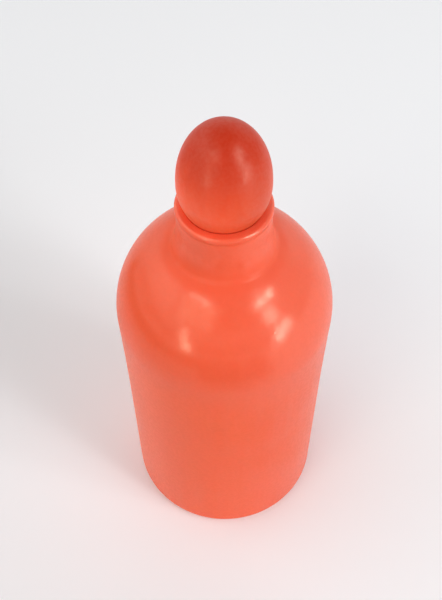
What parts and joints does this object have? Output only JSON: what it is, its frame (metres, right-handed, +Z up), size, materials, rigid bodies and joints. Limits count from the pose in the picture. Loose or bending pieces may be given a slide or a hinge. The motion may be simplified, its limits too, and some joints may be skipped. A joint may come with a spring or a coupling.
{
  "type": "stoppered glass bottle",
  "caption": "Round cased glass bottle with a domed shoulder, a short neck and a hollow blown egg stopper that lifts out.",
  "frame": {"origin": "middle of the foot ring, on the surface the bottle stands on", "axes": "+Z up along the bottle's axis, from the foot to the stopper"},
  "size_m": [0.1138, 0.1138, 0.2855],
  "materials": {
    "bottle_glass": "satin cased glass, opaque coral",
    "stopper_glass": "satin cased glass, opaque red-orange"
  },
  "bodies": {
    "bottle": {"bottle": "bottle_glass"},
    "stopper": {"stopper": "stopper_glass"}
  },
  "joints": [
    {"name": "stopper_lift", "type": "slide", "parent": "bottle", "child": "stopper", "axis": [0, 0, 1], "range_m": [0, 0.06]}
  ]
}
